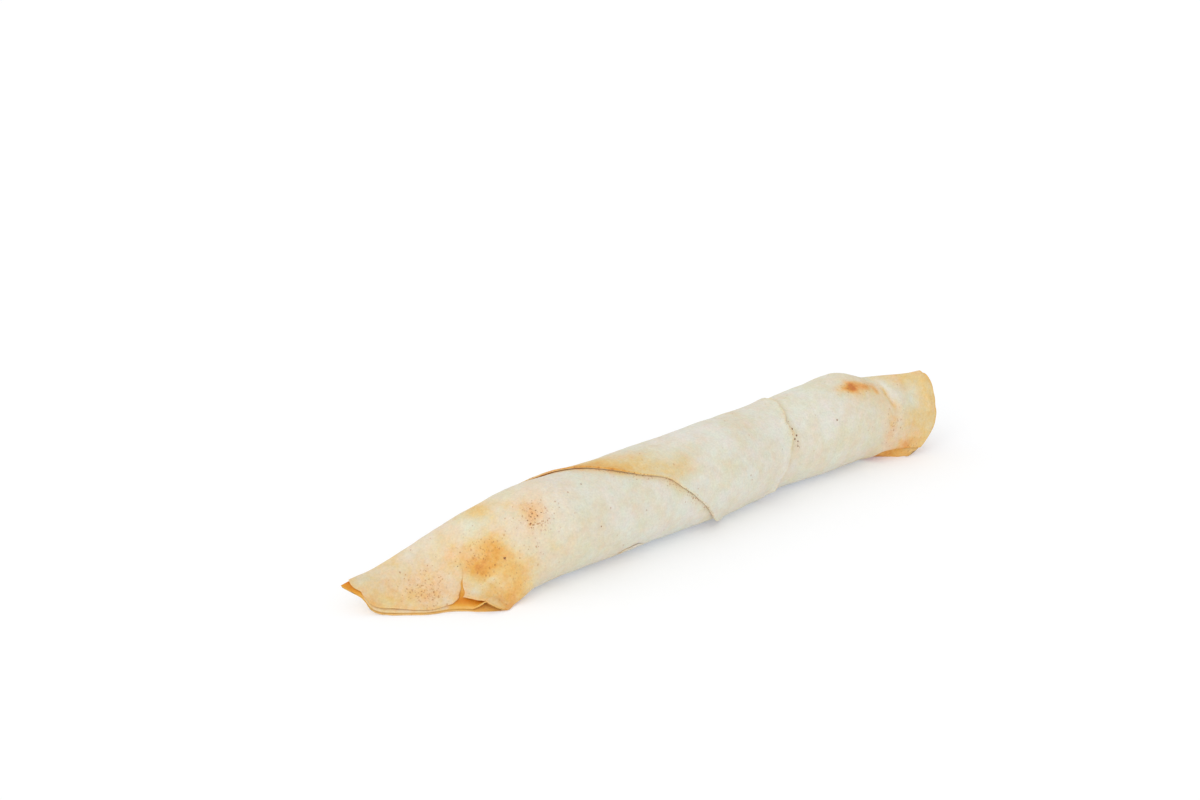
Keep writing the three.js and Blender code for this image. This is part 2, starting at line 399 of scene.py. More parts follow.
def noise_node(tree, spot, scale, detail, rough):
    values = {"Vector": spot, "Scale": scale, "Detail": detail, "Roughness": rough}
    return add_node(tree, "ShaderNodeTexNoise", values).outputs[0]


def cells_node(tree, spot, scale, feature):
    return add_node(tree, "ShaderNodeTexVoronoi", {"Vector": spot, "Scale": scale}, feature=feature)


def parts_of(tree, colour):
    return add_node(tree, "ShaderNodeSeparateColor", {"Color": colour}).outputs


def attribute_node(tree, name):
    return add_node(tree, "ShaderNodeAttribute", attribute_name=name).outputs["Fac"]


def millimetres_on_piece(tree):
    """The place on the piece in millimetres, so that a texture's scale is per millimetre."""
    spot = add_node(tree, "ShaderNodeTexCoord").outputs["Object"]
    per_metre = (1 / MM, 1 / MM, 1 / MM)
    values = {0: spot, 1: per_metre}
    return add_node(tree, "ShaderNodeVectorMath", values, operation="MULTIPLY").outputs[0]


def bump_node(tree, height):
    """A bump from a height in millimetres."""
    values = {"Strength": 1.0, "Distance": MM, "Height": height}
    return add_node(tree, "ShaderNodeBump", values).outputs[0]


def ramp_node(tree, factor, stops):
    made = add_node(tree, "ShaderNodeValToRGB", {"Fac": factor})
    steps = made.color_ramp.elements
    steps[0].position, steps[0].color = stops[0]
    steps[1].position, steps[1].color = stops[-1]
    for position, colour in stops[1:-1]:
        steps.new(position).color = colour
    return made.outputs["Color"]


def mix_colours(tree, factor, a, b):
    made = tree.nodes.new("ShaderNodeMix")
    made.data_type = "RGBA"
    for socket, value in zip((made.inputs[0], made.inputs[6], made.inputs[7]), (factor, a, b)):
        if isinstance(value, bpy.types.NodeSocket):
            tree.links.new(value, socket)
        else:
            socket.default_value = value
    return made.outputs[2]


def fried_grain_group():
    """Fine structure of fried pastry from a position in millimetres: height, mottling and pores."""
    group = bpy.data.node_groups.new("fried_grain", "ShaderNodeTree")
    face = group.interface
    face.new_socket("Position", in_out="INPUT", socket_type="NodeSocketVector")
    face.new_socket("Crispness", in_out="INPUT", socket_type="NodeSocketFloat")
    face.new_socket("Height", in_out="OUTPUT", socket_type="NodeSocketFloat")
    face.new_socket("Mottling", in_out="OUTPUT", socket_type="NodeSocketFloat")
    face.new_socket("Pores", in_out="OUTPUT", socket_type="NodeSocketFloat")
    into = group.nodes.new("NodeGroupInput").outputs
    out = group.nodes.new("NodeGroupOutput").inputs
    spot = into["Position"]
    broad = noise_node(group, spot, 0.16, 3.0, 0.6)
    fine = noise_node(group, spot, 0.75, 4.0, 0.65)
    grain = noise_node(group, spot, 2.6, 2.0, 0.6)
    blister = cells_node(group, spot, 0.55, "SMOOTH_F1")
    pore = cells_node(group, spot, 1.5, "F1")
    dome = math_node(group, "SUBTRACT", 0.6, blister.outputs["Distance"], clamp=True)
    raised = math_node(group, "MULTIPLY", dome, into["Crispness"])
    hole = {"Value": pore.outputs["Distance"], "From Max": 0.22, "To Min": 1.0, "To Max": 0.0}
    pit = add_node(group, "ShaderNodeMapRange", hole).outputs[0]
    chosen = parts_of(group, pore.outputs["Color"])["Red"]
    pits = math_node(group, "MULTIPLY", pit, math_node(group, "GREATER_THAN", chosen, 0.75))
    height = math_node(group, "MULTIPLY", fine, 0.09)
    height = math_node(group, "MULTIPLY_ADD", grain, 0.025, height)
    height = math_node(group, "MULTIPLY_ADD", raised, 0.22, height)
    height = math_node(group, "MULTIPLY_ADD", pits, -0.04, height)
    mottling = math_node(group, "MULTIPLY_ADD", fine, 0.5, math_node(group, "MULTIPLY", broad, 0.5))
    group.links.new(height, out["Height"])
    group.links.new(mottling, out["Mottling"])
    group.links.new(pits, out["Pores"])
    return group


fried_grain = fried_grain_group()


def crust_material():
    material = bpy.data.materials.new("fried_crust")
    material.use_nodes = True
    tree = material.node_tree
    shader = tree.nodes["Principled BSDF"]
    spot = millimetres_on_piece(tree)
    toast_and_painted_light = attribute_node(tree, "toast_and_painted_light")
    rosy = attribute_node(tree, "rosy")
    inner = attribute_node(tree, "inner")
    stipple_and_edge_shade = attribute_node(tree, "stipple_and_edge_shade")
    grain = add_node(tree, "ShaderNodeGroup", node_tree=fried_grain)
    tree.links.new(spot, grain.inputs["Position"])
    crispness = math_node(tree, "MULTIPLY_ADD", toast_and_painted_light, 0.9, 0.12, clamp=True)
    tree.links.new(crispness, grain.inputs["Crispness"])

    # Pale pastry browns in golden tans, or in rosier ones where the blotches of blush are.
    mottled = math_node(tree, "SUBTRACT", grain.outputs["Mottling"], 0.5)
    swing = math_node(tree, "MULTIPLY_ADD", toast_and_painted_light, 0.9, 0.42)
    toasted = math_node(tree, "MULTIPLY_ADD", mottled, swing, toast_and_painted_light, clamp=True)
    golden = ramp_node(tree, toasted, [
        (0.0, srgb(218, 219, 204)),
        (0.15, srgb(216, 211, 184)),
        (0.3, srgb(219, 203, 164)),
        (0.45, srgb(222, 195, 139)),
        (0.6, srgb(223, 183, 112)),
        (0.8, srgb(221, 164, 78)),
        (1.0, srgb(200, 126, 46)),
    ])
    blushed = ramp_node(tree, toasted, [
        (0.0, srgb(223, 216, 206)),
        (0.15, srgb(221, 208, 187)),
        (0.3, srgb(223, 202, 174)),
        (0.45, srgb(225, 192, 151)),
        (0.6, srgb(225, 179, 124)),
        (0.8, srgb(223, 156, 86)),
        (1.0, srgb(202, 120, 58)),
    ])
    blotches = noise_node(tree, spot, 0.38, 3.0, 0.6)
    blush = math_node(tree, "MULTIPLY_ADD", blotches, 2.4, -1.2)
    outside = mix_colours(tree, math_node(tree, "ADD", rosy, blush, clamp=True), golden, blushed)

    # Brown dots: the stipple mark is the share of the small cells that have one.
    jumble = noise_node(tree, spot, 1.7, 2.0, 0.5)
    shifted = {0: jumble, 1: (0.6, 0.6, 0.6), 2: spot}
    jumbled = add_node(tree, "ShaderNodeVectorMath", shifted, operation="MULTIPLY_ADD").outputs[0]
    dots = cells_node(tree, jumbled, 2.0, "F1")
    chance = parts_of(tree, dots.outputs["Color"])
    size = math_node(tree, "MULTIPLY_ADD", chance["Green"], 0.34, 0.24)
    dot = math_node(tree, "DIVIDE", dots.outputs["Distance"], size)
    dot = math_node(tree, "SUBTRACT", 1.0, dot)
    dot = math_node(tree, "MULTIPLY", dot, 1.8, clamp=True)
    present = math_node(tree, "GREATER_THAN", stipple_and_edge_shade, chance["Red"])
    depth = math_node(tree, "MULTIPLY_ADD", chance["Blue"], 0.5, 0.12)
    depth = math_node(tree, "MULTIPLY_ADD", stipple_and_edge_shade, 0.22, depth)
    speck = math_node(tree, "MULTIPLY", dot, present)
    speck = math_node(tree, "MULTIPLY", speck, depth, clamp=True)
    outside = mix_colours(tree, speck, outside, srgb(168, 104, 52))

    # The inner side is oily and orange.
    oiled = math_node(tree, "MULTIPLY_ADD", mottled, 0.6, toast_and_painted_light, clamp=True)
    oily = ramp_node(tree, oiled, [
        (0.2, srgb(230, 182, 104)),
        (0.45, srgb(226, 160, 54)),
        (0.8, srgb(214, 126, 14)),
    ])

    # The outside varies in lightness too, and its pores are darker.
    dust = noise_node(tree, spot, 2.2, 3.0, 0.7)
    patchy = noise_node(tree, spot, 0.55, 2.0, 0.6)
    shade = math_node(tree, "MULTIPLY_ADD", dust, 0.3, 0.87)
    shade = math_node(tree, "MULTIPLY_ADD", patchy, 0.16, math_node(tree, "SUBTRACT", shade, 0.08))
    shade = math_node(tree, "MULTIPLY_ADD", grain.outputs["Pores"], -0.07, shade)
    shaded = {0: outside, "Scale": shade}
    outside = add_node(tree, "ShaderNodeVectorMath", shaded, operation="SCALE").outputs[0]
    colour = mix_colours(tree, inner, outside, oily)
    tree.links.new(colour, shader.inputs["Base Color"])
    rough = math_node(tree, "MULTIPLY_ADD", mottled, 0.3, 0.56)
    rough = math_node(tree, "MULTIPLY_ADD", inner, -0.12, rough)
    tree.links.new(rough, shader.inputs["Roughness"])
    tree.links.new(bump_node(tree, grain.outputs["Height"]), shader.inputs["Normal"])
    shader.inputs["Specular IOR Level"].default_value = 0.35
    shader.inputs["Subsurface Weight"].default_value = 0.12
    shader.inputs["Subsurface Radius"].default_value = (1.0, 0.6, 0.3)
    shader.inputs["Subsurface Scale"].default_value = 0.0012
    return material


crust = crust_material()

# The edges of the layers that lie over the wrapper, needed here because the oil that gathers
# under them browns the pastry beside them, and beside the left edge painted shade darkens it too.
# The first two give the place along the roll for each turn round it in degrees, and the third the
# angle on the tail for each place along it.
left_edge = (
    (-66, 0, 63, 81, 93, 109, 128, 146, 158, 171, 186, 196, 220, 234, 284),
    (-52, -36, -19.5, -14, -12.2, -8.7, -2.7, 4.3, 6.4, 8.8, 11.7, 13.4, 17.5, 21, 33.5),
)
right_edge = (
    (-66, 0, 90, 112, 123, 130, 137, 147, 156, 168, 179, 205, 220, 284),
    (60, 54, 49, 47.4, 46.4, 45.2, 45.4, 45.6, 44.4, 43.2, 42.6, 40.5, 38.5, 35),
)
tail_edge = (
    (62, 70, 74, 76.5, 78, 80, 85, 90, 94.7),
    (236, 212, 190, 164, 151, 146, 143.5, 145, 147),
)

rings_along = 380
points_around = 216

# The hollows in the two ends, between sheets that are pressed together at the edges. The mouth's
# is nearly as wide as the roll there, and keeps a little above the floor.
mouth_depth = 10
mouth_rings = 16
mouth_slit = 0.15
mouth_width = 0.985
mouth_floor = 0.2
roof_thickness = 0.35
tail_depth = 5
tail_rings = 12
tail_slit = 0.3
wrapper_thickness = 0.6
pressed_edge = 2.4


def spread_along(count):
    """Places from tail to head, closer together at both ends."""
    evenly = np.linspace(0, 1, count)
    gathered = (1 - np.cos(np.pi * evenly)) / 2
    return tail + (head - tail) * (0.55 * evenly + 0.45 * gathered)


def half_depth(section, w):
    """Half the depth of a section at a distance w from its middle."""
    full = section["full"]
    return section["deep"] * (1 - np.abs(w / section["wide"]) ** full) ** (1 / full)


def tail_pocket(along, angle):
    """A point of the hollow in the tail, one wrapper thickness in from the outside."""
    angle = np.radians(angle)
    section = section_at(along)
    w = (section["wide"] - pressed_edge) * np.cos(angle)
    inside = np.maximum(half_depth(section, w) - wrapper_thickness, tail_slit / 2)
    closing = np.clip(3 * np.abs(np.sin(angle)), 0, 1)
    h = np.sign(np.sin(angle)) * inside * closing
    return place(along, section, w, h, wrapper_thickness)


def mouth_pocket(along, angle):
    """A point of the flat pocket in the mouth, which follows just under the upper face."""
    angle = np.radians(angle)
    section = section_at(along)
    w = section["wide"] * mouth_width * np.cos(angle)
    roof = half_depth(section, w) - roof_thickness
    closing = np.clip(4 * np.abs(np.sin(angle)), 0, 1)
    is_roof = np.sin(angle) > 0
    h = roof - mouth_slit * (1 - is_roof) * closing
    return place(along, section, w, h, mouth_floor, is_roof * closing)


def wrapper_marks(along, angles, points):
    """The marks of frying on the rings of the wrapper, its hollows among them."""
    marks = fried(along, points)
    toast_and_painted_light, rosy = marks["toast_and_painted_light"], marks["rosy"]

    # Oil browns the pastry along the last layer's edges. Beside the left edge the brown band and a
    # line of dots are partly painted shade under the lifted edge.
    turn = angles[None, :] + section_at(along)["lean"]
    before_left = smooth_between(*left_edge, turn) - along
    after_right = along - smooth_between(*right_edge, turn)
    oil_and_shade = 0.28 * (1 - ease(90, 200, turn)) + 0.12
    browned_and_shaded = oil_and_shade * fading(before_left, 2.6) * (before_left > -1)
    browned_and_shaded += 0.1 * fading(after_right, 1.2) * (after_right > -1)
    toast_and_painted_light = toast_and_painted_light + browned_and_shaded * (turn > 40) * (turn < 284)
    dots_and_edge_shade = 0.35 * fading(before_left - 1.2, 1.6) + 1.2 * fading(before_left, 0.6)
    marks["stipple_and_edge_shade"] += dots_and_edge_shade * (turn > 50) * (turn < 200)

    # The strip that shows under the tail's outer layer is golden brown, and darker still as painted
    # shade under that layer's edge.
    below_edge = angles[None, :] - smooth_between(*tail_edge, along)
    strip = ease(74, 77, along) * ease(-8, 0, below_edge) * (1 - ease(195, 215, angles))[None, :]
    strip_brown_and_shade = 0.84 - 0.24 * ease(82, 90, along)
    toast_and_painted_light = toast_and_painted_light + (strip_brown_and_shade - toast_and_painted_light) * strip
    marks["rosy"] = rosy * (1 - strip) - 0.4 * strip

    # The pockets and what shows of the mouth's inner layer are oily orange. It is darker just under
    # the lobe's edge, as painted shade.
    share = np.cos(np.radians(angles))
    beside_tongue = ease(0.6, 0.68, share) + 1 - ease(-0.27, -0.2, share)
    upper_face = (angles > 3) & (angles < 177)
    inner = (1 - ease(head + 6, head + 10, along)) * (beside_tongue * upper_face)[None, :]
    inner[:tail_rings] = 1.0
    inner[-mouth_rings:] = 1.0
    shade_under_lobe = ease(head, head + 2.2, along) * (1 - ease(head + 2.6, head + 5, along))
    deep_inside = 0.28 + 0.42 * shade_under_lobe + 0.3 * ease(0.6, 0.8, share)[None, :]
    deep_inside = deep_inside + 0.12 * ease(head + 3, head + 5, along)
    toast_and_painted_light = toast_and_painted_light + (deep_inside - toast_and_painted_light) * np.minimum(inner, 1)
    toast_and_painted_light[-mouth_rings:] = 0.3
    marks["toast_and_painted_light"] = toast_and_painted_light
    marks["inner"] = inner
    return {key: values.ravel() for key, values in marks.items()}


def closing_faces(ring, way):
    """Faces that close a flat ring of points from side to side. way is 1 or -1, their winding."""
    half = len(ring) // 2
    faces = [[ring[0], ring[1], ring[-1]]]
    for i in range(1, half - 1):
        faces.append([ring[i], ring[i + 1], ring[-i - 1], ring[-i]])
    faces.append([ring[half - 1], ring[half], ring[1 - half]])
    return [[int(corner) for corner in face[::way]] for face in faces]


def rolled_wrapper():
    angles = np.arange(points_around) * 360 / points_around
    tail_places = tail - np.linspace(tail_depth, 0, tail_rings)
    outside_places = spread_along(rings_along)
    mouth_places = head + mouth_depth * np.linspace(0, 1, mouth_rings) ** 1.5
    in_tail, outside, in_mouth = (
        places[:, None] + 0 * angles[None, :] for places in (tail_places, outside_places, mouth_places)
    )
    calm = ease(head, head + 5, outside) * ease(0, 3, tail - outside)
    bare = skin(outside, angles[None, :])
    points = np.concatenate([
        tail_pocket(in_tail, angles[None, :]),
        skin(outside, angles[None, :], relief(bare) * calm),
        mouth_pocket(in_mouth, angles[None, :]),
    ])
    at = np.arange(points.shape[0] * points_around).reshape(-1, points_around)
    after = np.roll(at, -1, axis=1)
    faces = np.stack([at[:-1], at[1:], after[1:], after[:-1]], -1).reshape(-1, 4).tolist()
    faces += closing_faces(at[0], 1) + closing_faces(at[-1], -1)
    marks = wrapper_marks(np.concatenate([in_tail, outside, in_mouth]), angles, points)
    finish_piece("rolled_wrapper", points.reshape(-1, 3), faces, marks, crust)


rolled_wrapper()


# The last layer
# The wrapper's outermost layer ends in a pointed corner that is tucked under the roll. Its two
# slanting edges lie on the layer below with a crisp rim and lift a little where they dried.

merged_depth = 0.12
tucked_depth = 0.4


def rim_steps(count, width, thickness):
    """Shares from 0 to 1 across a sheet, with extra lines close to both edges."""
    close = np.array([0, 0.08, 0.2, 0.4, 0.7, 1.1]) * thickness / width
    inner = np.linspace(1.7 * thickness / width, 1 - 1.7 * thickness / width, count)
    return np.concatenate([close, inner, 1 - close[::-1]])


def grid_faces(grid, way):
    """The faces of a grid of point numbers. way is 1 or -1, their winding."""
    a, b, c, d = grid[:-1, :-1], grid[1:, :-1], grid[1:, 1:], grid[:-1, 1:]
    corners = (a, b, c, d) if way > 0 else (a, d, c, b)
    return np.stack(corners, -1).reshape(-1, 4).tolist()


def layer_sheet(
    name, along, angle, gap, lifted, thickness, free=1.0, tuck=(0.8, 2.6), rim_toast=0.15,
    tan_and_painted_shade=0.0, dots_and_edge_shade=0.0,
):
    """A thin closed sheet over the skin, on a grid of places along and angles.

    gap is the distance to the sheet's free edge, lifted the space under it, and free falls to 0
    where the sheet merges with the skin. tuck gives two distances from the edge, between which
    the under side sinks into the skin. rim_toast browns the edge. tan_and_painted_shade browns the
    whole upper side, as toasting and as painted shade, and dots_and_edge_shade adds brown dots to
    it, which paint shade where they line an edge."""
    bare = skin(along, angle)
    rise = relief(bare) * ease(head, head + 5, along)
    away = np.clip(gap / thickness, 0, 1)
    full = np.sqrt(1 - (1 - away) ** 2)
    top = rise + (lifted + thickness * (0.5 + 0.5 * full)) * free - merged_depth * (1 - free)
    inside = ease(tuck[0], tuck[1], gap)
    under = rise + (lifted * (1 - inside) + thickness * 0.5 * (1 - full)) * free
    under = under - tucked_depth * np.maximum(inside, 1 - free)
    sides = skin(along, angle, top), skin(along, angle, under, 0.1)
    points = np.concatenate([side.reshape(-1, 3) for side in sides])
    count = along.size
    upper = np.arange(count).reshape(along.shape)
    faces = grid_faces(upper, 1) + grid_faces(upper + count, -1)
    rim = [*upper[:, 0], *upper[-1, 1:], *upper[-2::-1, -1], *upper[0, -2:0:-1]]
    for a, b in zip(rim, rim[1:] + rim[:1]):
        faces.append([int(a), int(a + count), int(b + count), int(b)])
    top_marks = fried(along, bare)
    edge = rim_toast * (1 - ease(0.1, 1.0, gap)) * free + tan_and_painted_shade
    marks = {
        "toast_and_painted_light": (top_marks["toast_and_painted_light"] + edge, top_marks["toast_and_painted_light"] + 0.4),
        "rosy": (top_marks["rosy"] - 1.4 * tan_and_painted_shade, top_marks["rosy"]),
        "stipple_and_edge_shade": (top_marks["stipple_and_edge_shade"] + dots_and_edge_shade, np.zeros_like(gap)),
        "inner": (np.zeros_like(gap), ease(0.05, 0.6, gap)),
    }
    marks = {key: np.concatenate([side.ravel() for side in pair]) for key, pair in marks.items()}
    finish_piece(name, points, faces, marks, crust)


def last_layer():
    first_turn, last_turn = -66, 284
    thickness = 0.42
    turns = np.linspace(first_turn, last_turn, 280)
    shares = rim_steps(138, 60, 0.4)
    turn = turns[:, None] + 0 * shares[None, :]

    # The edges waver, and the right one is frayed on the near side.
    def waver(size, seed):
        return np.array([noise.noise(Vector((t / size, seed, 0))) for t in turns])

    wobble = 0.5 * waver(14, 3.3) + 0.18 * waver(4, 8.1)
    frayed = 0.35 * waver(2.5, 5.7) * ease(118, 130, turns)
    left = smooth_between(*left_edge, turns) + wobble
    right = smooth_between(*right_edge, turns) + np.roll(wobble, 40) + frayed
    along = left[:, None] + (right - left)[:, None] * shares[None, :]
    from_left = along - left[:, None]
    from_right = right[:, None] - along
    mm_per_degree = 0.19
    gap = np.minimum(np.minimum(from_left, from_right), (last_turn - turn) * mm_per_degree)
    angle = turn - section_at(along)["lean"]

    # The edges stand up in three places: (height, turn, reach round, distance to the edge).
    lifted = 0.18 + 0.1 * clouds(skin(along, angle), 6, 21.0)
    raised = ((0.45, 133, 9, from_right), (0.5, 228, 10, from_left), (0.65, 215, 6, from_right))
    for height, middle, reach, from_edge in raised:
        lifted = lifted + height * fading(turn - middle, reach) * fading(from_edge, 3.0)
    lifted = lifted * (1 - ease(0.4, 3.5, gap))

    # The layer is tanned beside its left edge, partly by browning and partly as painted shade, such as
    # other rolls lying against it would cast. Brown dots line both edges; at the left one they also
    # paint the dark shade line along the edge.
    tan_and_painted_shade = 0.62 * fading(from_left, 11) * ease(45, 75, turn) * (1 - ease(105, 165, turn))
    dots_and_edge_shade = 1.2 * fading(from_left, 0.5) + 0.8 * fading(from_right, 0.4) * ease(118, 130, turn)
    layer_sheet("last_layer", along, angle, gap, lifted, thickness, tan_and_painted_shade=tan_and_painted_shade, dots_and_edge_shade=dots_and_edge_shade)


last_layer()


# The sheets of the mouth
# The mouth's upper side has come apart: a broad tongue covers most of it, and a smaller lobe
# stands up in an arch beside it. The slit between them shows the orange layer below.

# Behind the slit, from the first of these places along the roll on, the two sheets meet at these
# shares of the width.
merge_line = ((-50.5, -49.4, -47.2, -44, -40), (-0.19, -0.15, 0.02, 0.22, 0.4))
mouth_sheet = 0.35
mouth_mm_per_degree = 0.23


def tongue():
    far_angle, near_angle = -28, 106
    back = -40

    # The place of the front edge along the roll for each angle, and the share of the width at
    # which the near margin lies for each place along the roll.
    front_places = (
        (-28, 0, 20, 31, 39, 46, 52, 75, 96, 100, 103, 106),
        (-53.5, -55.4, -56.2, -56.65, -56.85, -56.9, -57.15, -56.85, -57.15, -57.2, -57.0, -56.2),
    )
    margin = (
        (-57.4, -56.1, -54.6, -53.1, -51.7) + merge_line[0],
        (-0.28, -0.315, -0.33, -0.29, -0.25) + merge_line[1],
    )
    across = rim_steps(120, 30, mouth_sheet)
    steps = rim_steps(84, 17, mouth_sheet)
    front = smooth_between(*front_places, near_angle - (near_angle - far_angle) * across)
    along = front[:, None] + (back - front)[:, None] * steps[None, :]
    near = angle_of(smooth_between(*margin, along), along)
    angle = near + (far_angle - near) * across[:, None]
    from_side = np.minimum(near - angle, angle - far_angle) * mouth_mm_per_degree
    gap = np.minimum(along - front[:, None], from_side)
    free = (1 - ease(-54, -45, along)) * ease(far_angle, -2, angle)
    puffed = 1 + clouds(skin(along, angle), 5, 31.0)
    lifted = 0.05 + 0.12 * puffed * (1 - ease(0.5, 5, gap))
    layer_sheet(
        "mouth_tongue", along, angle, gap, lifted, mouth_sheet, free, tuck=(1.5, 5.0), rim_toast=0.1
    )


def lobe():
    first_share, last_share = -0.37, -1.3
    under_angle = 205
    back = -41

    # The place of the front edge along the roll for each share of the width, the share at which
    # the margin beside the slit lies for each place along the roll, and the arch's extra lift.
    front_places = (
        (-1.3, -1, -0.94, -0.87, -0.79, -0.74, -0.7, -0.66, -0.6, -0.52, -0.37),
        (-56, -57.4, -57.5, -57.6, -57.6, -57.55, -57.3, -56.7, -56.0, -55.5, -55.0),
    )
    margin = (
        (-57.4, -55, -53, -51.5) + merge_line[0][1:],
        (-0.37, -0.38, -0.345, -0.27) + merge_line[1][1:],
    )
    lifts = ((-1.3, -0.8, -0.71, -0.66, -0.6, -0.52, -0.37), (0.0, 0.0, 0.0, 0.2, 0.6, 0.9, 1.0))
    across = rim_steps(90, 22, mouth_sheet)
    steps = rim_steps(70, 15, mouth_sheet)
    share = first_share + (last_share - first_share) * across
    front = smooth_between(*front_places, share)
    along = front[:, None] + (back - front)[:, None] * steps[None, :]
    near = angle_of(smooth_between(*margin, along), along)
    angle = near + (under_angle - near) * across[:, None] ** 1.15
    from_side = np.minimum(angle - near, under_angle - angle) * mouth_mm_per_degree
    gap = np.minimum(along - front[:, None], from_side)
    free = (1 - ease(-55, -46, along)) * (1 - ease(182, under_angle, angle))
    lifted = 0.05 + smooth_between(*lifts, share)[:, None] * (1 - ease(-56, -47, along))
    layer_sheet(
        "mouth_lobe", along, angle, gap, lifted, mouth_sheet, free, tuck=(2.0, 5.0), rim_toast=0.1
    )


tongue()
lobe()


# The tail's outer layer
# The narrow end is pinched upright. Its outer layer stops a little above the floor on the near
# side, and a strip of the layer below shows under its edge, painted browner, partly as browning
# and partly as shade.

def tail_layer():
    first_along = 62
    length = 32.7
    first_angle = -150
    mm_per_degree = 0.17
    places = first_along + length * rim_steps(110, length, 0.35)
    shares = rim_steps(170, 50, 0.35)
    along = places[:, None] + 0 * shares[None, :]
    last_angle = smooth_between(*tail_edge, along)
    angle = first_angle + (last_angle - first_angle) * shares[None, :]
    from_edge = (last_angle - angle) * mm_per_degree
    from_start = (angle - first_angle) * mm_per_degree
    gap = np.minimum(np.minimum(from_edge, from_start), first_along + length - along)
    free = ease(first_along, 72, along) * ease(0, 5, from_start)
    lifted = 0.12 * (1 - ease(0.3, 2.5, from_edge)) + 0.15 * (1 - ease(0.3, 4.0, tail - along))
    thickness = 0.4
    layer_sheet(
        "tail_layer", along, angle, gap, lifted, thickness, free, tuck=(0.8, 3.0), rim_toast=0.12
    )


tail_layer()


# Browned flake
# A bit of the crisp wrapper has blistered off at the foot of the near side and lies against it.
# It is a ragged round about 6 mm long and thin as a leaf, with its front edge standing off.


def flake():
    middle_place, half_length = -7.2, 3.2
    middle_angle, half_turn = 189, 5
    across = rim_steps(26, 5, 0.3)
    steps = rim_steps(18, 3, 0.3)
    u = (across * 2 - 1)[:, None] + 0 * steps[None, :]
    v = (steps * 2 - 1)[None, :] + 0 * across[:, None]
    round_u = u * np.sqrt(1 - 0.5 * v**2)
    round_v = v * np.sqrt(1 - 0.5 * u**2)
    around = np.arctan2(round_v, round_u)
    ragged = 1 + 0.14 * np.sin(5 * around + 1) + 0.08 * np.sin(11 * around)
    along = middle_place + half_length * round_u * ragged
    angle = middle_angle + half_turn * round_v * ragged - 1.5 * round_u
    gap = (1 - np.maximum(np.abs(u), np.abs(v))) * 1.2
    lifted = 0.03 + 0.12 * ease(-0.3, 1, round_u) * (1 - ease(0.2, 1.0, gap))
    thickness = 0.16
    layer_sheet(
        "side_flake", along, angle, gap, lifted, thickness, tuck=(0.4, 1.0), rim_toast=0.06, dots_and_edge_shade=0.5
    )


flake()


# Burnt specks and a hole's shade
# Crumbs of flour and small blisters have burnt dark on the skin, one by one and in clusters. They
# are flat ragged grains no bigger than a pinhead, stuck to the pastry. The largest one is painted
# shade for a small hole at the last layer's right edge.


def burnt_material():
    material = bpy.data.materials.new("burnt_speck")
    material.use_nodes = True
    tree = material.node_tree
    shader = tree.nodes["Principled BSDF"]
    spot = millimetres_on_piece(tree)
    grain = add_node(tree, "ShaderNodeGroup", node_tree=fried_grain)
    tree.links.new(spot, grain.inputs["Position"])
    grain.inputs["Crispness"].default_value = 1.0
    colour = ramp_node(tree, grain.outputs["Mottling"], [
        (0.35, srgb(112, 70, 38)),
        (0.7, srgb(158, 104, 60)),
    ])
    tree.links.new(colour, shader.inputs["Base Color"])
    rough = math_node(tree, "MULTIPLY_ADD", grain.outputs["Mottling"], 0.3, 0.45)
    tree.links.new(rough, shader.inputs["Roughness"])
    tree.links.new(bump_node(tree, grain.outputs["Height"]), shader.inputs["Normal"])
    return material


burnt = burnt_material()


def unit(vector):
    return vector / np.linalg.norm(vector)


def burnt_specks_and_hole_shade():
    # Along the roll, the angle round it, and the radius in millimetres.
    places = [
        # The one at 46 along and 85 degrees is painted shade for a small hole at the last layer's right
        # edge.
        (-42.7, 118, 0.26), (-48.0, 86, 0.17), (-44.8, 104, 0.16), (46.0, 85, 0.38), (59.6, 89.5, 0.2),
        (-52.8, 77, 0.2), (-33.4, 96, 0.15), (-34.3, 103, 0.16), (-32.2, 98, 0.15), (78.8, 103, 0.16),
        (-32.8, 93, 0.14), (-33.0, 100, 0.13), (-31.2, 96, 0.12), (-34.4, 98, 0.13), (-31.8, 91, 0.12),
        (80.6, 113, 0.15), (85.6, 136, 0.18), (91, 144, 0.16), (-19, 134, 0.15), (-18.6, 78, 0.16),
        (45.9, 91, 0.26), (46.6, 95, 0.24), (45.7, 99, 0.24), (46.4, 103, 0.2), (46.0, 109, 0.18),
        (12, -12, 0.24), (47, -36, 0.3), (-27, -20, 0.24), (33, 20, 0.18), (2, 245, 0.22),
    ]
    rings, sides = 5, 12
    flatness = 0.16
    raised = 0.02
    points, faces = [], []
    for along, angle, radius in places:
        centre = skin(along, angle)
        forward = unit(skin(along + 0.1, angle) - centre)
        sideways = unit(skin(along, angle + 0.5) - centre)
        outward = unit(np.cross(sideways, forward))
        centre = centre + outward * relief(centre[None, :])[0]
        first = len(points)
        for ring in range(rings + 1):
            low = ring / rings
            up = flatness * radius * math.cos(math.pi * low) + raised
            for side in range(sides):
                around = 2 * math.pi * side / sides
                ragged = 1 + 0.22 * math.sin(3 * around + along) + 0.12 * math.sin(5 * around + angle)
                reach = radius * math.sin(math.pi * min(max(low, 0.04), 0.96)) * ragged
                point = centre + forward * math.cos(around) * reach
                points.append(point + sideways * math.sin(around) * reach + outward * up)
        for ring in range(rings):
            for side in range(sides):
                a = first + ring * sides + side
                b = first + ring * sides + (side + 1) % sides
                faces.append([a, a + sides, b + sides, b])
        faces.append([first + side for side in range(sides)])
        faces.append([first + rings * sides + side for side in reversed(range(sides))])
    points = np.array(points)
    marks = {}
    for key, value in (("toast_and_painted_light", 1.0), ("rosy", 0.8), ("stipple_and_edge_shade", 1.0), ("inner", 0.0)):
        marks[key] = np.full(len(points), value)
    finish_piece("burnt_specks_and_hole_shade", points, faces, marks, burnt)


burnt_specks_and_hole_shade()


